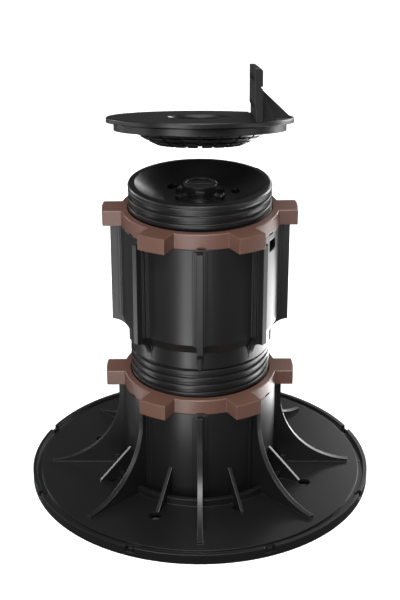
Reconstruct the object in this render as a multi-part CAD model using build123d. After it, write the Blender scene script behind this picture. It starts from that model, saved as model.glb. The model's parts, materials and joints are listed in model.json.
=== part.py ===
from build123d import *
import os
from math import cos, radians, sin, sqrt, tan

# Adjustable pedestal that carries a raised deck or paving. Millimetres, +Z up.
# The origin is the middle of the base's underside, and the front is towards -Y.
# A feature is drawn at the front and then turned to its bearing about Z, positive towards +X.

# Screw threads shared by both telescoping tubes
crest_r = 45.9
thread_depth = 1.3
plain_gap = 0.3
key_w = 4.4
key_slot_gap = 0.3
key_reach = 2.6
key_bearing = 180.0

# Base moulding
base_r = 115.0
rim_top_z = 6.8
rim_w = 2.8
groove_w = 3.2
groove_depth = 1.4
plate_top_z = 6.0
plate_t = 2.6
foot_w = 7.0
under_rib_t = 2.4
tube_wall = 4.0
bore_gap = 0.7
base_tube_top_z = 69.9
base_key_low_z = 8.0
base_key_high_z = 63.0
rim_notch_w = 6.4
rim_notch_floor_z = 2.8
rim_notch_depth = 4.4
rim_tongue_w = 3.0
rim_tongue_t = 1.2
rim_tongue_drop = 1.2
long_rib_count = 8
long_rib_t = 3.6
long_rib_tip_r = 102.0
long_rib_arc_r = 50.0
long_rib_arc_z = 57.5
long_rib_top_gap = 0.9
long_rib_crown_w = 4.0
short_rib_t = 2.4
short_rib_tip_r = 72.6
short_rib_top_z = 28.3
curb_gap = 5.4
curb_t = 3.2
curb_h = 5.0
screw_hole_r = 4.2
screw_circle_r = 75.6
pin_hole_r = 3.3
pin_circle_r = 64.3
base_pad_half_deg = 5.5
pad_t = 0.9

# Ring nuts, one on each tube
ring_wall = 4.6
ring_h = 10.0
ring_seat_gap = 0.3
ring_lug_count = 6
ring_lug_w = 18.8
ring_lug_reach = 11.8
ring_lug_root = 1.5
ring_edge = 0.5
ring_spigot_t = 1.6
ring_spigot_l = 4.2
ring_bead = 0.6
ring_bead_h = 1.6
ring_ridge_h = 3.0
ring_notch_w = 5.0
ring_notch_h = 1.0
ring_notch_depth = 0.8
lower_ring_turn = 0.5
upper_ring_turn = 1.1

# Middle body
mid_low_z = 20.0
mid_wall = 3.0
mid_thread_top_z = 99.0
mid_cone_low_z = 112.6
mid_cone_step = 1.3
mid_floor_z = 119.1
mid_tube_top_z = 183.8
mid_floor_t = 3.4
mid_key_low_z = 122.0
mid_key_high_z = 171.0
fin_count = 8
fin_t = 4.0
fin_reach = 7.0
fin_low_z = 115.5
fin_top_gap = 0.5
fin_web_r = 12.0
fin_web_low_z = 103.0
fin_web_clear = 0.4
fin_step = 1.6
fin_step_t = 1.5
pad_half_deg = 5.2
low_rib_t = 2.6
low_rib_h = 0.9
low_rib_low_z = 99.6
window_w = 9.0
window_low_z = 172.4
window_high_z = 179.9
window_bearing = 64.5

# Top shaft with its ball seat
shaft_low_z = 134.0
shaft_wall = 3.8
shaft_lip_low_z = 208.7
shaft_top_z = 210.5
shaft_lip_round = 1.6
shaft_key_slot_top_z = 190.0
bowl_ball_r = 70.0
bowl_rim_w = 5.1
bowl_edge_drop = 0.6
bowl_floor_z = 200.8
bowl_t = 3.0
boss_r = 10.8
boss_top_z = 209.3
boss_wall = 1.9
boss_pocket_depth = 6.0
boss_foot_r = 12.6
boss_foot_h = 1.0
boss_lug_w = 6.0
boss_lug_reach = 1.2
boss_lug_low_z = 204.8
boss_lug_high_z = 207.0
arm_bearing = 60.0
arm_w = 5.0
arm_end_r = 16.6
arm_top_z = 203.4
arm_end_h = 0.9
vent_count = 3
vent_r = 2.5
vent_l = 8.0
vent_circle_r = 24.0
vent_bearing = 108.0

# Slotted plug in the boss
plug_gap = 0.3
plug_slot_w = 1.6
plug_slot_depth = 1.8
plug_top_drop = 0.7

# Levelling cup under the head
ball_gap = 0.4
cup_t = 2.8
cup_floor_gap = 1.6
cup_floor_t = 2.6
cup_hole_r = 22.0
cup_rise = 1.3
tooth_count = 20
tooth_rows = 3
tooth_gap = 2.4
tooth_h = 1.1

# Head plate
head_gap = 1.2
head_band_r = 53.7
head_band_h = 5.0
head_band_wall = 3.0
head_disc_r = 58.4
head_disc_t = 3.0
head_hole_r = 18.6
head_hole_wall = 2.8
head_hole_bevel = 1.6
head_rib_count = 12
head_rib_t = 2.2
head_rib_end_r = 42.0
head_rib_floor_gap = 1.6
head_line_w = 0.7
head_line_depth = 0.5
head_edge = 0.5
tab_seat_depth = 0.6
tab_seat_margin = 1.2
tab_seat_lip_w = 1.4
tab_seat_lip_drop = 0.1

# Edge tab on the head
tab_x = 32.9
tab_t = 4.0
tab_h = 31.0
tab_half_l = 45.6
tab_snap_drop = 11.0
tab_snap_depth = 1.3
tab_corner = 1.4
tab_panel_t = 0.7
tab_panel_low = 7.2
gusset_h = 18.0
gusset_toe = 1.2
gusset_root = 1.0
gusset_t = 2.4
gusset_spread = 32.0
gusset_reach_r = 55.5

# Raised position of the head: it is swung about a far line parallel to X
head_lift = 33.0
head_tip_deg = 13.0

# Worked out from the sizes above
root_r = crest_r - thread_depth
tube_bore_r = crest_r + bore_gap
tube_r = tube_bore_r + tube_wall
long_rib_crown_r = tube_r + long_rib_crown_w
curb_in_r = tube_r + curb_gap
ring_bore_r = crest_r + plain_gap
ring_r = ring_bore_r + ring_wall
ring_lug_tip_r = ring_r + ring_lug_reach
ring_spigot_r = ring_bore_r + ring_spigot_t
seat_bore_r = ring_spigot_r + plain_gap
seat_depth = ring_spigot_l + plain_gap
mid_bore_r = root_r - mid_wall
fin_r = tube_r + fin_reach
key_slot_floor_r = tube_bore_r - key_reach - key_slot_gap
lower_ring_z = base_tube_top_z + ring_seat_gap
upper_ring_z = mid_tube_top_z + ring_seat_gap
bowl_edge_r = crest_r - bowl_rim_w
ball_z = shaft_top_z - bowl_edge_drop + sqrt(bowl_ball_r**2 - bowl_edge_r**2)
cup_ball_r = bowl_ball_r - ball_gap
cup_inner_r = cup_ball_r - cup_t
cup_low_z = bowl_floor_z + cup_floor_gap
head_low_z = shaft_top_z + head_gap
head_disc_low_z = head_low_z + head_band_h
head_top_z = head_disc_low_z + head_disc_t
tab_seat_z = head_top_z - tab_seat_depth
tab_seat_x = tab_x - tab_seat_margin
half_tip = radians(head_tip_deg / 2)
pole_y = head_lift / (2 * tan(half_tip))
pole_z = head_top_z + head_lift / 2
far = 400.0

# Upright plane through the axis: its x is the radius towards the front, its y the height
radial = Plane(origin=(0, 0, 0), x_dir=(0, -1, 0), z_dir=(-1, 0, 0))


def turned(*points):
    """A solid of revolution about Z from (radius, height) points."""
    return revolve(Plane.XZ * Polygon(*points, align=None), Axis.Z)


def sleeve(r_in, r_out, z_low, z_high):
    """A plain tube, or a disc when the inner radius is nought."""
    return turned((r_in, z_low), (r_out, z_low), (r_out, z_high), (r_in, z_high))


def upright(outline, thickness):
    """A web of the given radius and height outline, standing at the front."""
    return extrude(radial * outline, amount=thickness / 2, both=True)


def around(shape, count, first=0.0, span=360.0):
    """Copies of a front feature, evenly spaced about Z."""
    return [Rot(0, 0, first + span * i / count) * shape for i in range(count)]


def at_bearings(shape, bearings):
    """Copies of a front feature at the bearings named."""
    return [Rot(0, 0, bearing) * shape for bearing in bearings]


def front_box(r_low, r_high, width, z_low, z_high):
    """A block at the front between two radii."""
    block = Box(width, r_high - r_low, z_high - z_low, align=(Align.CENTER, Align.MAX, Align.MIN))
    return Pos(0, -r_low, z_low) * block


def pillar(radius, at_r, z_low, z_high):
    """A round post or hole at the front, on the circle of radius at_r."""
    post = Cylinder(radius, z_high - z_low, align=(Align.CENTER, Align.CENTER, Align.MIN))
    return Pos(0, -at_r, z_low) * post


def ball(radius, floor_z, top_z=far):
    """The ball about the levelling centre, cut flat at a floor and a top."""
    whole = Pos(0, 0, ball_z) * Sphere(radius)
    return whole & sleeve(0, 2 * radius, floor_z, top_z)


def sector_pad(inner_r, outer_r, half_deg, z_low, z_high):
    """A shallow raised strip on a tube, centred on the front."""
    reach = 2 * outer_r
    wedge = Polygon(
        (0, 0),
        (-reach * sin(radians(half_deg)), -reach * cos(radians(half_deg))),
        (reach * sin(radians(half_deg)), -reach * cos(radians(half_deg))),
        align=None,
    )
    whole = sleeve(inner_r, outer_r, z_low, z_high)
    return whole & (Pos(0, 0, z_low) * extrude(wedge, amount=z_high - z_low))


def ring_seat(tube_top_z):
    """The recess in a tube's mouth that takes a ring nut's spigot and snap bead."""
    bead_low_z = tube_top_z + ring_seat_gap - ring_spigot_l
    recess = sleeve(0, seat_bore_r, tube_top_z - seat_depth + ring_seat_gap, tube_top_z + 1)
    bead_groove = sleeve(
        0,
        seat_bore_r + ring_bead,
        bead_low_z - plain_gap,
        bead_low_z + ring_bead_h + plain_gap,
    )
    return recess + bead_groove


def key(z_low, z_high):
    """The rib inside a tube that stops the next tube from turning."""
    rib = front_box(tube_bore_r - key_reach, tube_bore_r + tube_wall / 2, key_w, z_low, z_high)
    return Rot(0, 0, key_bearing) * rib


def key_slot(z_low, z_high):
    """The slot along a threaded tube that slides on the key."""
    slot = front_box(key_slot_floor_r, crest_r + 1, key_w + 2 * key_slot_gap, z_low, z_high)
    return Rot(0, 0, key_bearing) * slot


def make_base():
    """Round base plate with its tube, ribs, curb, rim and screw holes, as one moulding."""
    edge_r = base_r - rim_w
    plate_edge_r = edge_r - groove_w
    groove_z = plate_top_z - groove_depth
    body = turned(
        (tube_bore_r, 0),
        (tube_r, 0),
        (tube_r, plate_top_z - plate_t),
        (base_r - foot_w, plate_top_z - plate_t),
        (base_r - foot_w, 0),
        (base_r, 0),
        (base_r, rim_top_z),
        (edge_r, rim_top_z),
        (edge_r, groove_z),
        (plate_edge_r, groove_z),
        (plate_edge_r, plate_top_z),
        (tube_r, plate_top_z),
        (tube_r, base_tube_top_z),
        (tube_bore_r, base_tube_top_z),
    )
    pitch = 360 / long_rib_count
    root_in_r = tube_r - tube_wall / 2
    arc_r_centre = long_rib_crown_r + long_rib_arc_r
    arc_foot_z = long_rib_arc_z - sqrt(long_rib_arc_r**2 - (arc_r_centre - long_rib_tip_r) ** 2)
    rib_top_z = base_tube_top_z - long_rib_top_gap
    rib_outline = Polygon(
        (root_in_r, plate_top_z - plate_t / 2),
        (long_rib_tip_r, plate_top_z - plate_t / 2),
        (long_rib_tip_r, arc_foot_z),
        (long_rib_tip_r, long_rib_arc_z),
        (long_rib_crown_r, long_rib_arc_z),
        (long_rib_crown_r, rib_top_z),
        (root_in_r, rib_top_z),
        align=None,
    ) - Pos(arc_r_centre, long_rib_arc_z) * Circle(long_rib_arc_r)
    long_rib = upright(rib_outline, long_rib_t)
    short_rib = upright(
        Polygon(
            (root_in_r, plate_top_z - plate_t / 2),
            (short_rib_tip_r, plate_top_z - plate_t / 2),
            (short_rib_tip_r, plate_top_z + 1),
            (tube_r, short_rib_top_z),
            (root_in_r, short_rib_top_z),
            align=None,
        ),
        short_rib_t,
    )
    under_rib = front_box(root_in_r, base_r - foot_w / 2, under_rib_t, 0, plate_top_z - plate_t / 2)
    curb = sleeve(curb_in_r, curb_in_r + curb_t, plate_top_z - plate_t / 2, plate_top_z + curb_h)
    tube_pad = sector_pad(
        root_in_r, tube_r + pad_t, base_pad_half_deg, plate_top_z - plate_t / 2, rib_top_z
    )
    screw_bearings = [pitch * (2 * i - 0.5) for i in range(4)]
    pin_bearings = [pitch * (2 * i + 0.5) for i in range(4)]
    body -= at_bearings(pillar(pin_hole_r, pin_circle_r, -1, rim_top_z), pin_bearings)
    body += around(tube_pad, long_rib_count)
    body += around(long_rib, long_rib_count)
    body += around(short_rib, long_rib_count, first=pitch / 2)
    body += around(under_rib, long_rib_count)
    body += [curb]
    body -= at_bearings(pillar(screw_hole_r, screw_circle_r, -1, rim_top_z), screw_bearings)
    notch = front_box(base_r - rim_notch_depth, base_r + 1, rim_notch_w, rim_notch_floor_z, rim_top_z + 1)
    tongue = front_box(
        edge_r + rim_tongue_t / 2,
        edge_r + rim_tongue_t * 1.5,
        rim_tongue_w,
        rim_notch_floor_z - rim_tongue_t,
        rim_top_z - rim_tongue_drop,
    )
    body -= around(notch, long_rib_count, first=pitch / 2)
    body += around(tongue, long_rib_count, first=pitch / 2)
    body -= ring_seat(base_tube_top_z)
    body += key(base_key_low_z, base_key_high_z)
    return body


def make_ring(low_z, turn_deg):
    """Hand-turned ring nut with lugs, a snap spigot below and a ridge that rides in the thread."""
    top_z = low_z + ring_h
    spigot_z = low_z - ring_spigot_l
    middle_z = low_z + ring_h / 2
    ridge_r = root_r + plain_gap
    body = turned(
        (ring_bore_r, spigot_z),
        (ring_spigot_r, spigot_z),
        (ring_spigot_r + ring_bead, spigot_z + ring_bead_h / 2),
        (ring_spigot_r, spigot_z + ring_bead_h),
        (ring_spigot_r, low_z),
        (ring_r, low_z),
        (ring_r, top_z - ring_edge),
        (ring_r - ring_edge, top_z),
        (ring_bore_r + ring_edge, top_z),
        (ring_bore_r, top_z - ring_edge),
        (ring_bore_r, middle_z + ring_ridge_h / 2),
        (ridge_r, middle_z + ring_ridge_h / 6),
        (ridge_r, middle_z - ring_ridge_h / 6),
        (ring_bore_r, middle_z - ring_ridge_h / 2),
    )
    lug = front_box(ring_bore_r + ring_lug_root, 2 * ring_lug_tip_r, ring_lug_w, low_z, top_z)
    lug &= sleeve(0, ring_lug_tip_r, low_z, top_z)
    lug = chamfer(lug.faces().sort_by(Axis.Z)[-1].edges(), ring_edge)
    body += around(lug, ring_lug_count, first=180 / ring_lug_count)
    notch = front_box(ring_r - ring_notch_depth, ring_r + 1, ring_notch_w, low_z - 1, low_z + ring_notch_h)
    body -= around(notch, ring_lug_count)
    return Rot(0, 0, turn_deg) * body


def make_mid_body():
    """Telescoping middle tube: threaded below, finned and keyed above."""
    body = turned(
        (mid_bore_r, mid_low_z),
        (root_r, mid_low_z),
        (root_r, mid_thread_top_z),
        (crest_r, mid_thread_top_z + thread_depth),
        (crest_r, mid_cone_low_z),
        (crest_r + mid_cone_step, mid_cone_low_z),
        (tube_r, mid_floor_z),
        (tube_r, mid_tube_top_z),
        (tube_bore_r, mid_tube_top_z),
        (tube_bore_r, mid_floor_z),
        (mid_bore_r, mid_floor_z - mid_floor_t / 2),
    )
    root_in_r = tube_r - tube_wall / 2
    web_in_r = crest_r - thread_depth / 2
    fin_top_z = mid_tube_top_z - fin_top_gap
    fin_outline = Polygon(
        (web_in_r, fin_web_low_z),
        (fin_r, fin_web_low_z),
        (fin_r, fin_top_z),
        (root_in_r, fin_top_z),
        (root_in_r, mid_floor_z),
        (web_in_r, mid_floor_z),
        align=None,
    ) - Pos(fin_r + fin_web_clear, fin_low_z - fin_web_r) * Circle(fin_web_r)
    fin = upright(fin_outline, fin_t)
    fin_root_w = fin_t + 2 * fin_step_t
    fin_root = front_box(root_in_r, tube_r + pad_t + fin_step, fin_root_w, mid_floor_z, fin_top_z)
    pad = sector_pad(root_in_r, tube_r + pad_t, pad_half_deg, mid_floor_z, fin_top_z)
    low_rib = front_box(web_in_r, crest_r + low_rib_h, low_rib_t, low_rib_low_z, mid_cone_low_z + 1)
    window = front_box(tube_bore_r - tube_wall, tube_r + tube_wall, window_w, window_low_z, window_high_z)
    body += around(pad, fin_count)
    body += around(fin_root, fin_count)
    body += around(fin, fin_count)
    body += around(low_rib, fin_count // 2)
    body -= at_bearings(window, (window_bearing, window_bearing - 180))
    body -= ring_seat(mid_tube_top_z)
    body += key(mid_key_low_z, mid_key_high_z)
    body -= key_slot(mid_low_z - 1, mid_thread_top_z - thread_depth)
    return body


def make_top_shaft():
    """Upper threaded tube closed by the ball seat, with the plug's boss in its middle."""
    bore_r = root_r - shaft_wall
    body = turned(
        (0, shaft_low_z),
        (root_r, shaft_low_z),
        (root_r, shaft_lip_low_z - thread_depth),
        (crest_r, shaft_lip_low_z),
        (crest_r, shaft_top_z - shaft_lip_round),
        (crest_r - shaft_lip_round * 0.3, shaft_top_z - shaft_lip_round * 0.3),
        (crest_r - shaft_lip_round, shaft_top_z),
        (0, shaft_top_z),
    )
    hollow_top_z = bowl_floor_z - bowl_t
    body -= sleeve(0, bore_r, shaft_low_z - 1, shaft_top_z) - ball(bowl_ball_r + bowl_t, hollow_top_z)
    body -= ball(bowl_ball_r, bowl_floor_z)
    pocket_r = boss_r - boss_wall
    boss_mid_r = boss_r - boss_wall / 2
    arm = upright(
        Polygon(
            (boss_mid_r, bowl_floor_z - 1),
            (arm_end_r, bowl_floor_z - 1),
            (arm_end_r, arm_top_z),
            (arm_end_r - arm_end_h, arm_top_z + arm_end_h),
            (arm_end_r - 2 * arm_end_h, arm_top_z),
            (boss_mid_r, arm_top_z),
            align=None,
        ),
        arm_w,
    )
    vent_slot = Pos(0, -vent_circle_r, bowl_floor_z - 2 * bowl_t) * extrude(
        SlotOverall(vent_l, 2 * vent_r), amount=4 * bowl_t
    )
    boss_lug = front_box(
        boss_mid_r, boss_r + boss_lug_reach, boss_lug_w, boss_lug_low_z, boss_lug_high_z
    )
    body += sleeve(0, boss_foot_r, bowl_floor_z - 1, bowl_floor_z + boss_foot_h)
    body += sleeve(0, boss_r, bowl_floor_z - 1, boss_top_z)
    body += at_bearings(boss_lug, (0, 180))
    body += at_bearings(arm, (arm_bearing, 180 - arm_bearing, arm_bearing - 180, -arm_bearing))
    body -= sleeve(0, pocket_r, boss_top_z - boss_pocket_depth, boss_top_z + 1)
    body -= around(vent_slot, vent_count, first=vent_bearing)
    body -= key_slot(shaft_low_z - 1, shaft_key_slot_top_z)
    return body


def make_centre_plug():
    """Slotted plug that turns in the boss."""
    top_z = boss_top_z - plug_top_drop
    low_z = boss_top_z - boss_pocket_depth + plug_gap
    body = sleeve(0, boss_r - boss_wall - plug_gap, low_z, top_z)
    slot = Pos(0, 0, top_z - plug_slot_depth) * Box(
        2 * boss_r, plug_slot_w, 2 * plug_slot_depth, align=(Align.CENTER, Align.CENTER, Align.MIN)
    )
    return body - slot


def make_levelling_cup():
    """Toothed spherical cup, seated: rows of square teeth face the ball seat."""
    edge_z = head_low_z + cup_rise
    body = ball(cup_ball_r, cup_low_z, edge_z) - ball(cup_inner_r, cup_low_z + cup_floor_t)
    body -= sleeve(0, cup_hole_r, cup_low_z - 1, edge_z)
    reach_r = cup_ball_r - tooth_h
    row_h = (head_low_z - cup_low_z) / tooth_rows
    skin = ball(cup_ball_r + 1, cup_low_z - 1, head_low_z + 1) - ball(reach_r, cup_low_z + tooth_h)
    spokes = around(front_box(cup_hole_r - 1, head_band_r, tooth_gap, cup_low_z - 2, head_low_z), tooth_count)
    row_slit = sleeve(cup_hole_r, head_band_r, cup_low_z - tooth_gap / 4, cup_low_z + tooth_gap / 4)
    rings = [Pos(0, 0, row_h * row) * row_slit for row in range(1, tooth_rows)]
    for cutter in spokes + rings:
        body -= skin & cutter
    return body


def make_head_plate():
    """Head, seated: a disc over a band, with a centre tube and ribs that bear in the cup."""
    tube_out_r = head_hole_r + head_hole_wall
    band_in_r = head_band_r - head_band_wall
    rib_low_z = cup_low_z + cup_floor_t + head_rib_floor_gap
    line_z = head_disc_low_z - head_line_w
    body = turned(
        (head_hole_r, rib_low_z),
        (tube_out_r, rib_low_z),
        (tube_out_r, head_disc_low_z),
        (band_in_r, head_disc_low_z),
        (band_in_r, head_low_z),
        (head_band_r, head_low_z),
        (head_band_r, line_z),
        (head_band_r - head_line_depth, line_z),
        (head_band_r - head_line_depth, head_disc_low_z),
        (head_disc_r, head_disc_low_z),
        (head_disc_r, head_top_z - head_edge),
        (head_disc_r - head_edge, head_top_z),
        (head_hole_r + head_hole_bevel, head_top_z),
        (head_hole_r, head_top_z - head_hole_bevel),
    )
    rib = front_box(head_hole_r + 1, head_rib_end_r, head_rib_t, rib_low_z, head_disc_low_z + 1)
    rib &= ball(cup_inner_r - ball_gap, rib_low_z)
    body += around(rib, head_rib_count)
    beyond_tab = Pos(tab_seat_x, 0, tab_seat_z) * Box(
        far, far, tab_seat_depth + 1, align=(Align.MIN, Align.CENTER, Align.MIN)
    )
    body -= beyond_tab
    lip_top_z = head_top_z - tab_seat_lip_drop
    lip = sleeve(head_disc_r - head_edge - tab_seat_lip_w, head_disc_r - head_edge, tab_seat_z - 1, lip_top_z)
    body += lip & (Pos(tab_seat_margin + tab_t, 0, -1) * beyond_tab)
    return body


def make_edge_tab():
    """Upright spacer plate with three gussets, as it stands in its seat on the head."""
    outer_x = tab_x + tab_t
    top_z = head_top_z + tab_h
    snap_z = top_z - tab_snap_drop
    section = Polygon(
        (tab_x, tab_seat_z),
        (outer_x, tab_seat_z),
        (outer_x, snap_z - tab_snap_depth),
        (outer_x - tab_snap_depth, snap_z),
        (outer_x, snap_z + tab_snap_depth / 2),
        (outer_x, top_z - tab_corner),
        (outer_x - tab_corner, top_z),
        (tab_x, top_z),
        align=None,
    )
    body = extrude(Plane.XZ * section, amount=tab_half_l, both=True)
    body += Pos(tab_x, 0, head_top_z + tab_panel_low) * Box(
        2 * tab_panel_t, 2 * tab_half_l, tab_h - tab_panel_low, align=(Align.CENTER, Align.CENTER, Align.MIN)
    )
    for side in (-1, 0, 1):
        y = side * gusset_spread
        reach_x = sqrt(gusset_reach_r**2 - y**2)
        web = Polygon(
            (outer_x - gusset_root, tab_seat_z),
            (reach_x, tab_seat_z),
            (reach_x, tab_seat_z + gusset_toe),
            (outer_x, head_top_z + gusset_h),
            (outer_x - gusset_root, head_top_z + gusset_h),
            align=None,
        )
        body += Pos(0, y, 0) * extrude(Plane.XZ * web, amount=gusset_t / 2, both=True)
    return body


raise_head = Pos(0, pole_y, pole_z) * Rot(-head_tip_deg, 0, 0) * Pos(0, -pole_y, -pole_z)

parts = {
    "base": make_base(),
    "lower_ring": make_ring(lower_ring_z, lower_ring_turn),
    "mid_body": make_mid_body(),
    "upper_ring": make_ring(upper_ring_z, upper_ring_turn),
    "top_shaft": make_top_shaft(),
    "centre_plug": make_centre_plug(),
    "levelling_cup": raise_head * make_levelling_cup(),
    "head_plate": raise_head * make_head_plate(),
    "edge_tab": raise_head * make_edge_tab(),
}

os.makedirs("parts", exist_ok=True)
for name, solid in parts.items():
    export_step(solid, f"parts/{name}.step")
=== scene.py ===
"""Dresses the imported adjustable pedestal: screw threads, small marks, finishes, studio and camera.

Every length is in metres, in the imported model's own frame: +Z is up, -Y is the front and the
origin is the middle of the base's underside.
"""

from __future__ import annotations

import json
import logging
import math
from collections.abc import Iterator
from contextlib import contextmanager
from dataclasses import dataclass
from enum import Enum

import bpy
from mathutils import Matrix, Vector


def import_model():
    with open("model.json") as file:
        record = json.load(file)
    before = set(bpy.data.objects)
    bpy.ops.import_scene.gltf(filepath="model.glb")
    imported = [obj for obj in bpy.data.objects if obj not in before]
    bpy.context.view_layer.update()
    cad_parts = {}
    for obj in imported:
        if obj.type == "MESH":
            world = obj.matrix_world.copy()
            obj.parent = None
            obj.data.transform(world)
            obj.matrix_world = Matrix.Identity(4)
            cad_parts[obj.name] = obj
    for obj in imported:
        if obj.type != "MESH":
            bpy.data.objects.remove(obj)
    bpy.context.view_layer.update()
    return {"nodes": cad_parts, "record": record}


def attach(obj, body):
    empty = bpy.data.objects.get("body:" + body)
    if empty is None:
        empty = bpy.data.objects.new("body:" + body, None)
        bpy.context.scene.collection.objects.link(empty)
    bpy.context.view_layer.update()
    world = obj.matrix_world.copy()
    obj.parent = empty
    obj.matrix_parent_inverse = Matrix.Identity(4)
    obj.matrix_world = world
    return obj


LOG = logging.getLogger("pedestal")
MM = 0.001
IMAGE_HEIGHT_PX = 600

MERGE_DISTANCE = 1e-6
FLAT_ANGLE = math.radians(0.5)
SMOOTH_ANGLE = math.radians(40)

# A thread is wound from its +X side and comes to the front after three quarters of a turn.
START_TO_FRONT = 0.75

# Lamps that lie just above the floor face a point far overhead.
CARD_Z = 0.004
SKY = (0.0, 0.0, 300.0)


class Slot(Enum):
    """The record's material slots."""

    BLACK = "black_plastic"
    BROWN = "brown_plastic"


@dataclass(frozen=True)
class Wire:
    """A number that flows through a material, so that shader maths reads as arithmetic."""

    bench: NodeBench
    socket: bpy.types.NodeSocket

    def _math(self, operation: str, first: Wire | float, second: Wire | float) -> Wire:
        """Adds one Math node.

        Args:
            operation: The Math node's operation.
            first: A wire or a number for the first socket.
            second: A wire or a number for the second socket.

        Returns:
            The wire that carries the result.
        """
        node = self.bench.node("ShaderNodeMath", {"operation": operation}, {0: first, 1: second})
        return Wire(self.bench, node.outputs[0])

    def __add__(self, other: Wire | float) -> Wire:
        """Adds a wire or a number."""
        return self._math("ADD", self, other)

    def __radd__(self, other: float) -> Wire:
        """Adds the wire to a number."""
        return self._math("ADD", other, self)

    def __mul__(self, other: Wire | float) -> Wire:
        """Multiplies by a wire or a number."""
        return self._math("MULTIPLY", self, other)

    def __rmul__(self, other: float) -> Wire:
        """Multiplies a number by the wire."""
        return self._math("MULTIPLY", other, self)

    def above(self, limit: float) -> Wire:
        """Gives one where the wire is over the limit and nought elsewhere."""
        return self._math("GREATER_THAN", self, limit)


class NodeBench:
    """The node tree of one material or world, and the single method that adds nodes to it."""

    def __init__(self, owner: bpy.types.Material | bpy.types.World) -> None:
        """Empties the owner's node tree.

        Args:
            owner: The new material or world.
        """
        owner.use_nodes = True
        self.owner = owner
        self.tree = owner.node_tree
        self.tree.nodes.clear()

    def node(
        self,
        kind: str,
        settings: dict[str, object] | None = None,
        sockets: dict[str | int, object] | None = None,
    ) -> bpy.types.Node:
        """Adds a node.

        Args:
            kind: The node's type.
            settings: Properties, set before the sockets.
            sockets: Values or wires for the input sockets, by name or index.

        Returns:
            The new node.
        """
        made = self.tree.nodes.new(kind)
        for key, value in (settings or {}).items():
            setattr(made, key, value)
        for key, value in (sockets or {}).items():
            if isinstance(value, Wire):
                self.tree.links.new(value.socket, made.inputs[key])
            else:
                made.inputs[key].default_value = value
        return made

    def wire(self, made: bpy.types.Node, output: str | int = 0) -> Wire:
        """Wraps a node's output."""
        return Wire(self, made.outputs[output])

    def noise(self, place: Wire, scale: float, detail: float, roughness: float) -> Wire:
        """Adds a noise that is fixed to the object.

        Args:
            place: The object's own coordinates.
            scale: How many grains there are to a metre.
            detail: Number of finer layers.
            roughness: Strength of the finer layers.

        Returns:
            The noise's value, from nought to one.
        """
        sockets = {"Vector": place, "Scale": scale, "Detail": detail, "Roughness": roughness}
        return self.wire(self.node("ShaderNodeTexNoise", {"noise_dimensions": "3D"}, sockets))


@dataclass(frozen=True)
class MouldedPlastic:
    """Satin moulded plastic with spark-eroded grain, faint flow marks and rounded edges."""

    name: str
    colour: tuple[float, float, float]
    flow_colour: tuple[float, float, float]
    roughness: float
    roughness_spread: float = 0.10
    flow_scale: float = 22.0
    flow_detail: float = 4.0
    flow_roughness: float = 0.55
    grain_scale: float = 1400.0
    grain_detail: float = 2.0
    grain_roughness: float = 0.5
    grain_depth: float = 0.000012
    grain_strength: float = 0.35
    edge_radius: float = 0.0006
    edge_samples: int = 8
    specular: float = 0.5

    def build(self) -> bpy.types.Material:
        """Builds the material.

        Returns:
            The finished material.
        """
        bench = NodeBench(bpy.data.materials.new(self.name))
        place = bench.wire(bench.node("ShaderNodeTexCoord"), "Object")
        flow = bench.noise(place, self.flow_scale, self.flow_detail, self.flow_roughness)
        grain = bench.noise(place, self.grain_scale, self.grain_detail, self.grain_roughness)
        tint = bench.node(
            "ShaderNodeMix",
            {"data_type": "RGBA"},
            {"Factor": flow, "A": (*self.colour, 1.0), "B": (*self.flow_colour, 1.0)},
        )
        rounded = bench.node(
            "ShaderNodeBevel",
            {"samples": self.edge_samples},
            {"Radius": self.edge_radius},
        )
        bump = bench.node(
            "ShaderNodeBump",
            None,
            {
                "Strength": self.grain_strength,
                "Distance": self.grain_depth,
                "Height": grain,
                "Normal": bench.wire(rounded),
            },
        )
        rough = self.roughness - self.roughness_spread / 2 + flow * self.roughness_spread
        shader = bench.node(
            "ShaderNodeBsdfPrincipled",
            None,
            {
                "Base Color": bench.wire(tint, "Result"),
                "Roughness": rough,
                "Normal": bench.wire(bump),
                "Specular IOR Level": self.specular,
            },
        )
        bench.node("ShaderNodeOutputMaterial", None, {"Surface": bench.wire(shader)})
        return bench.owner


class Finishes:
    """The two finishes of the pedestal, one for each material slot."""

    def __init__(self) -> None:
        """Makes both finishes."""
        black = MouldedPlastic(
            "satin_black",
            colour=(0.0060, 0.0060, 0.0064),
            flow_colour=(0.0085, 0.0085, 0.0090),
            roughness=0.34,
        )
        brown = MouldedPlastic(
            "satin_brown",
            colour=(0.116, 0.055, 0.039),
            flow_colour=(0.133, 0.064, 0.046),
            roughness=0.40,
            edge_radius=0.0008,
            specular=0.65,
        )
        self.made = {Slot.BLACK: black.build(), Slot.BROWN: brown.build()}

    def dress(self, piece: bpy.types.Object, slot: Slot) -> None:
        """Gives a piece its finish.

        Args:
            piece: The object to dress.
            slot: The record's slot that it belongs to.
        """
        piece.data.materials.clear()
        piece.data.materials.append(self.made[slot])

    def dress_nodes(
        self,
        nodes: dict[str, bpy.types.Object],
        subparts: list[dict[str, str]],
    ) -> None:
        """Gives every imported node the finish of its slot.

        Args:
            nodes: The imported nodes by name.
            subparts: The record's list of nodes and their slots.
        """
        for part in subparts:
            self.dress(nodes[part["node"]], Slot(part["material_slot"]))
            LOG.info("dressed %s as %s", part["node"], part["material_slot"])


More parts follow.
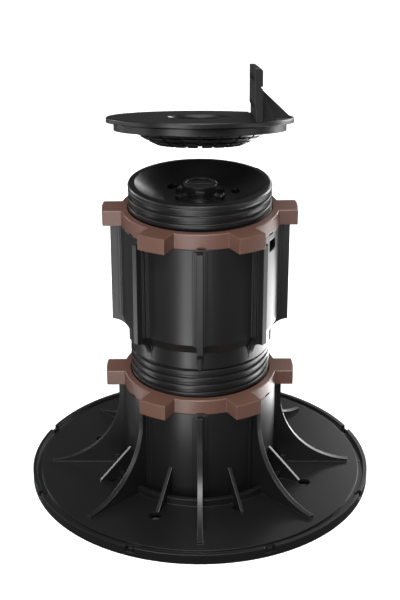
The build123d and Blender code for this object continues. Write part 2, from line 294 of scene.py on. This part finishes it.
class Bench:
    """Small helpers round Blender's own modelling operators."""

    @staticmethod
    def deselect() -> None:
        """Leaves nothing selected."""
        bpy.ops.object.select_all(action="DESELECT")

    @staticmethod
    def pick(piece: bpy.types.Object) -> None:
        """Selects one object alone and makes it active."""
        Bench.deselect()
        piece.select_set(True)
        bpy.context.view_layer.objects.active = piece

    @staticmethod
    def apply_modifiers(piece: bpy.types.Object) -> None:
        """Applies every modifier of a piece, in order."""
        Bench.pick(piece)
        for modifier in list(piece.modifiers):
            bpy.ops.object.modifier_apply(modifier=modifier.name)

    @staticmethod
    def settle(piece: bpy.types.Object, name: str) -> None:
        """Names a piece and puts its place into its mesh.

        Args:
            piece: The object to settle.
            name: Its name.
        """
        Bench.pick(piece)
        bpy.ops.object.transform_apply(location=True, rotation=True, scale=True)
        piece.name = name
        piece.data.name = name

    @staticmethod
    @contextmanager
    def editing(piece: bpy.types.Object, action: str = "SELECT") -> Iterator[None]:
        """Holds a piece in edit mode while the block runs.

        Args:
            piece: The object to edit.
            action: What to do with all of its mesh first, SELECT or DESELECT.

        Yields:
            Nothing; the piece is open until the block ends.
        """
        Bench.pick(piece)
        bpy.ops.object.mode_set(mode="EDIT")
        bpy.ops.mesh.select_all(action=action)
        yield
        bpy.ops.object.mode_set(mode="OBJECT")

    @staticmethod
    def outward(piece: bpy.types.Object) -> None:
        """Merges doubles and turns every face outwards."""
        with Bench.editing(piece):
            bpy.ops.mesh.remove_doubles(threshold=MERGE_DISTANCE)
            bpy.ops.mesh.normals_make_consistent(inside=False)


@dataclass(frozen=True)
class ScrewThread:
    """The helical ridge on a threaded tube, broken where the key slot runs.

    The ridge's foot is sunk into the tube, and its crest has soft edges and a faint groove
    along its middle. It starts low down inside, crosses the front for the last time at
    top_front_z and runs out run_out_turns later.
    """

    name: str
    body: str
    top_front_z: float
    whole_turns: int
    slot_top_z: float
    root_r: float = 44.6 * MM
    crest_r: float = 45.85 * MM
    sink: float = 0.5 * MM
    pitch: float = 5.2 * MM
    foot_w: float = 3.8 * MM
    crest_w: float = 3.2 * MM
    section_cuts: int = 5
    edge_drop: float = 0.25 * MM
    edge_power: int = 4
    groove_depth: float = 0.12 * MM
    groove_narrowing: float = 9.0
    run_out_turns: float = 0.35
    steps_per_turn: int = 96
    slot_w: float = 5.0 * MM
    slot_overrun_turns: int = 2

    @property
    def low_z(self) -> float:
        """Height of the section's middle where the ridge starts."""
        return self.top_front_z - self.pitch * (self.whole_turns + START_TO_FRONT)

    @property
    def foot_r(self) -> float:
        """Radius of the ridge's sunken foot."""
        return self.root_r - self.sink

    @property
    def turns(self) -> float:
        """How many times the ridge goes round the tube."""
        return self.whole_turns + START_TO_FRONT + self.run_out_turns

    def build(self, finishes: Finishes) -> bpy.types.Object:
        """Models the ridge and hangs it on its tube.

        Args:
            finishes: The finishes to dress it with.

        Returns:
            The finished ridge.
        """
        piece = self._profile()
        self._sweep(piece)
        self._cut_key_slot(piece)
        Bench.outward(piece)
        bpy.ops.object.shade_smooth_by_angle(angle=SMOOTH_ANGLE)
        finishes.dress(piece, Slot.BLACK)
        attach(piece, self.body)
        LOG.info("%s: %d faces", self.name, len(piece.data.polygons))
        return piece

    def _profile(self) -> bpy.types.Object:
        """Draws the ridge's section in the XZ plane from a plane primitive.

        Returns:
            The object that holds the section's outline.
        """
        Bench.deselect()
        depth = self.crest_r - self.foot_r
        middle = Vector((self.foot_r + depth / 2, 0.0, self.low_z))
        upright = (math.pi / 2, 0.0, 0.0)
        bpy.ops.mesh.primitive_plane_add(size=1.0, location=middle, rotation=upright)
        piece = bpy.context.active_object
        piece.scale = (depth, self.foot_w, 1.0)
        Bench.settle(piece, self.name)
        with Bench.editing(piece):
            bpy.ops.mesh.subdivide(number_cuts=self.section_cuts)
        for vertex in piece.data.vertices:
            self._shape(vertex)
        with Bench.editing(piece):
            bpy.ops.mesh.dissolve_limited(angle_limit=FLAT_ANGLE)
            bpy.ops.mesh.delete(type="ONLY_FACE")
        return piece

    def _shape(self, vertex: bpy.types.MeshVertex) -> None:
        """Moves one point of the flat section to its place on the ridge.

        Args:
            vertex: A point of the subdivided plane.
        """
        rise = (vertex.co.x - self.foot_r) / (self.crest_r - self.foot_r)
        across = (vertex.co.z - self.low_z) / (self.foot_w / 2)
        width = self.foot_w + (self.crest_w - self.foot_w) * rise
        groove = self.groove_depth * max(0.0, 1.0 - self.groove_narrowing * across**2)
        drop = self.edge_drop * across**self.edge_power + groove
        vertex.co.z = self.low_z + across * width / 2
        vertex.co.x -= rise * drop

    def _sweep(self, piece: bpy.types.Object) -> None:
        """Winds the section up the tube and closes both ends.

        Args:
            piece: The object that holds the section.
        """
        screw = piece.modifiers.new("wind", "SCREW")
        screw.axis = "Z"
        screw.angle = 2 * math.pi * self.turns
        screw.screw_offset = self.pitch * self.turns
        screw.steps = round(self.steps_per_turn * self.turns)
        screw.render_steps = screw.steps
        screw.use_merge_vertices = False
        Bench.apply_modifiers(piece)
        with Bench.editing(piece, "DESELECT"):
            bpy.ops.mesh.select_mode(type="EDGE")
            bpy.ops.mesh.select_non_manifold()
            bpy.ops.mesh.fill()

    def _cut_key_slot(self, piece: bpy.types.Object) -> None:
        """Cuts the key slot's width out of the ridge at the back.

        Args:
            piece: The closed ridge.
        """
        Bench.outward(piece)
        Bench.deselect()
        height = self.slot_top_z - self.low_z + self.slot_overrun_turns * self.pitch
        place = Vector((0.0, self.crest_r, self.slot_top_z - height / 2))
        bpy.ops.mesh.primitive_cube_add(size=1.0, location=place)
        cutter = bpy.context.active_object
        cutter.scale = (self.slot_w, self.crest_r / 2, height)
        Bench.settle(cutter, "slot_cutter")
        cut = piece.modifiers.new("slot", "BOOLEAN")
        cut.operation = "DIFFERENCE"
        cut.solver = "EXACT"
        cut.object = cutter
        Bench.apply_modifiers(piece)
        bpy.data.objects.remove(cutter)


@dataclass(frozen=True)
class TabMarks:
    """Rows of small raised bars on the slab's side of the edge tab, plain and without words.

    They are placed from a mount's point on that side, which lies below the tab's top and
    behind its middle.
    """

    rest: Vector
    up: Vector
    rows_below_top: tuple[float, ...] = (6.2 * MM, 22.6 * MM)
    tab_top: float = 15.0 * MM
    mount_behind: float = 20.0 * MM
    row_length: float = 76.0 * MM
    bars: int = 20
    bar_size: tuple[float, float, float] = (0.5 * MM, 1.1 * MM, 3.0 * MM)
    short_share: float = 0.6

    @classmethod
    def on(cls, record: dict[str, object]) -> TabMarks:
        """Places the marks by the record's mounts on the head.

        Args:
            record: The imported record.

        Returns:
            The marks, ready to build.
        """
        mounts = {mount["name"]: mount for mount in record["mounts"]}
        return cls(Vector(mounts["tab_face"]["pos_m"]), Vector(mounts["head_top"]["axis"]))

    def build(self, finishes: Finishes) -> bpy.types.Object:
        """Models both rows as one piece that rides on the head.

        Args:
            finishes: The finishes to dress it with.

        Returns:
            The finished piece.
        """
        along = self.up.cross(Vector((-1.0, 0.0, 0.0)))
        lean = Matrix((Vector((1.0, 0.0, 0.0)), along, self.up)).transposed()
        step = self.row_length / (self.bars - 1)
        made = []
        for below in self.rows_below_top:
            for index in range(self.bars):
                shift = self.mount_behind + index * step - self.row_length / 2
                place = self.rest + along * shift + self.up * (self.tab_top - below)
                made.append(self._bar(place, lean, index))
        Bench.pick(made[0])
        for bar in made[1:]:
            bar.select_set(True)
        bpy.ops.object.join()
        piece = bpy.context.active_object
        Bench.settle(piece, "tab_marks")
        finishes.dress(piece, Slot.BLACK)
        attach(piece, "head")
        LOG.info("tab_marks: %d faces", len(piece.data.polygons))
        return piece

    def _bar(self, place: Vector, lean: Matrix, index: int) -> bpy.types.Object:
        """Adds one bar, every other one shorter.

        Args:
            place: The bar's middle on the tab's face.
            lean: Axes across, along and up the tipped tab. They are left-handed, so the bars
                lean forward by as much as the tab leans back.
            index: The bar's number in its row.

        Returns:
            The bar.
        """
        bpy.ops.mesh.primitive_cube_add(size=1.0, location=place, rotation=lean.to_euler())
        bar = bpy.context.active_object
        proud, width, height = self.bar_size
        bar.scale = (proud, width, height if index % 2 else height * self.short_share)
        return bar


@dataclass(frozen=True)
class Softbox:
    """A rectangular studio lamp that looks at a point."""

    name: str
    place: tuple[float, float, float]
    aim: tuple[float, float, float]
    size: tuple[float, float]
    watts: float

    def hang(self) -> None:
        """Adds the lamp."""
        data = bpy.data.lights.new(self.name, "AREA")
        data.shape = "RECTANGLE"
        data.size = self.size[0]
        data.size_y = self.size[1]
        data.energy = self.watts
        lamp = bpy.data.objects.new(self.name, data)
        bpy.context.scene.collection.objects.link(lamp)
        lamp.location = self.place
        facing = Vector(self.aim) - Vector(self.place)
        lamp.rotation_euler = facing.to_track_quat("-Z", "Y").to_euler()
        lamp.visible_camera = False


@dataclass(frozen=True)
class PhotoCamera:
    """The photograph's viewpoint, as fitted to the base, the ring nuts and the rim."""

    distance: float = 0.8222
    height: float = 0.5019
    look_down: float = 0.427
    focal_px: float = 1374.1
    sensor_mm: float = 36.0
    clip_start: float = 0.01

    def place(self) -> None:
        """Adds the camera and makes it the scene's own."""
        data = bpy.data.cameras.new("photo_camera")
        data.sensor_width = self.sensor_mm
        data.lens = self.focal_px * self.sensor_mm / IMAGE_HEIGHT_PX
        data.clip_start = self.clip_start
        camera = bpy.data.objects.new("photo_camera", data)
        camera.location = (0.0, -self.distance, self.height)
        camera.rotation_euler = (math.pi / 2 - self.look_down, 0.0, 0.0)
        bpy.context.scene.collection.objects.link(camera)
        bpy.context.scene.camera = camera


@dataclass(frozen=True)
class Studio:
    """Plain floor, surround and soft lamps.

    Floor and surround show white to the camera alone, so that the dark walls mirror the lamps
    and not a white room. Under the base, inside a set radius, the floor is painted dim to the
    camera too: painted shade that keeps the base's holes dark.
    """

    floor_size: float = 6.0
    floor_pale: float = 0.80
    floor_dim: float = 0.10
    floor_glow: float = 0.62
    glow_rise: float = 0.25
    floor_roughness: float = 0.9
    # Radius under the base inside which the floor is painted dim to the camera: painted shade seen
    # through the base's holes.
    painted_shade_r: float = 113.0 * MM
    surround: float = 0.075
    # Each line gives a lamp's name, place, aim, size and watts.
    lamps: tuple[Softbox, ...] = (
        Softbox("right_back_box", (0.62, 0.46, 0.26), (0.0, 0.0, 0.13), (0.45, 0.32), 4.0),
        Softbox("left_front_box", (-0.48, -0.90, 0.30), (0.0, 0.0, 0.14), (0.50, 0.44), 2.9),
        Softbox("right_front_box", (0.82, -0.42, 0.30), (0.0, 0.0, 0.14), (0.50, 0.40), 0.8),
        Softbox("high_front_box", (-0.05, -0.80, 1.10), (0.0, 0.0, 0.12), (0.60, 0.60), 14.5),
        Softbox("left_wide_box", (-0.95, 0.00, 0.34), (0.0, 0.0, 0.18), (0.7, 0.36), 1.6),
        Softbox("left_back_box", (-0.70, 0.50, 0.28), (0.0, 0.0, 0.15), (0.20, 0.30), 1.5),
        Softbox("back_box", (0.42, 0.92, 0.36), (0.0, 0.0, 0.2), (0.42, 0.18), 1.6),
        Softbox("top_box", (0.0, 0.10, 1.2), (0.0, 0.0, 0.1), (0.9, 0.9), 5.0),
        Softbox("right_floor_card", (0.20, 0.165, CARD_Z), SKY, (0.38, 0.26), 2.2),
        Softbox("left_floor_card", (-0.105, -0.31, CARD_Z), SKY, (0.05, 0.34), 0.36),
        Softbox("side_floor_card", (-0.34, -0.02, CARD_Z), SKY, (0.07, 0.34), 0.30),
        Softbox("front_floor_card", (-0.06, -0.50, CARD_Z), SKY, (0.30, 0.12), 1.0),
        Softbox("far_right_floor_card", (0.44, 0.14, CARD_Z), SKY, (0.34, 0.18), 0.75),
    )

    def build(self) -> None:
        """Adds the floor, the world, the lamps and the view settings."""
        self._floor()
        self._world()
        for lamp in self.lamps:
            lamp.hang()
        bpy.context.scene.view_settings.view_transform = "Standard"

    def _floor(self) -> None:
        """Adds the floor, which glows for the camera and is dim to every other ray; under the base
        it is painted dim to the camera as well, as painted shade.
        """
        Bench.deselect()
        bpy.ops.mesh.primitive_plane_add(size=self.floor_size, location=(0.0, 0.0, 0.0))
        floor = bpy.context.active_object
        floor.name = "studio_floor"
        bench = NodeBench(bpy.data.materials.new("studio_floor"))
        seen = bench.wire(bench.node("ShaderNodeLightPath"), "Is Camera Ray")
        place = bench.wire(bench.node("ShaderNodeTexCoord"), "Object")
        reach = bench.wire(
            bench.node("ShaderNodeVectorMath", {"operation": "LENGTH"}, {0: place}),
            "Value",
        )
        # Under the base the floor gets neither the glow nor the pale colour, so the holes show
        # painted shade.
        open_floor = seen * reach.above(self.painted_shade_r)
        glow = open_floor * (self.floor_glow + reach * self.glow_rise)
        plain = bench.node(
            "ShaderNodeBsdfPrincipled",
            None,
            {
                "Base Color": self.floor_dim + open_floor * (self.floor_pale - self.floor_dim),
                "Roughness": self.floor_roughness,
                "Specular IOR Level": 0.0,
                "Emission Color": glow,
                "Emission Strength": 1.0,
            },
        )
        bench.node("ShaderNodeOutputMaterial", None, {"Surface": bench.wire(plain)})
        floor.data.materials.append(bench.owner)

    def _world(self) -> None:
        """Lights the surround dimly and shows it white to the camera."""
        bench = NodeBench(bpy.data.worlds.new("studio_world"))
        bpy.context.scene.world = bench.owner
        white = (1.0, 1.0, 1.0, 1.0)
        dim, bright = (
            bench.wire(
                bench.node("ShaderNodeBackground", None, {"Color": white, "Strength": strength})
            )
            for strength in (self.surround, 1.0)
        )
        seen = bench.wire(bench.node("ShaderNodeLightPath"), "Is Camera Ray")
        blend = bench.node("ShaderNodeMixShader", None, {0: seen, 1: dim, 2: bright})
        bench.node("ShaderNodeOutputWorld", None, {"Surface": bench.wire(blend)})


def main() -> None:
    """Builds the dressed pedestal in its studio."""
    logging.basicConfig(level=logging.INFO, format="%(name)s: %(message)s")
    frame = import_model()
    Bench.deselect()
    finishes = Finishes()
    finishes.dress_nodes(frame["nodes"], frame["record"]["subparts"])
    lower_thread = ScrewThread(
        "lower_thread",
        "mid_tube",
        top_front_z=96.9 * MM,
        whole_turns=13,
        slot_top_z=97.7 * MM,
    )
    upper_thread = ScrewThread(
        "upper_thread",
        "shaft",
        top_front_z=206.9 * MM,
        whole_turns=12,
        slot_top_z=190.0 * MM,
    )
    for thread in (lower_thread, upper_thread):
        thread.build(finishes)
    TabMarks.on(frame["record"]).build(finishes)
    Studio().build()
    PhotoCamera().place()


if __name__ == "__main__":
    main()
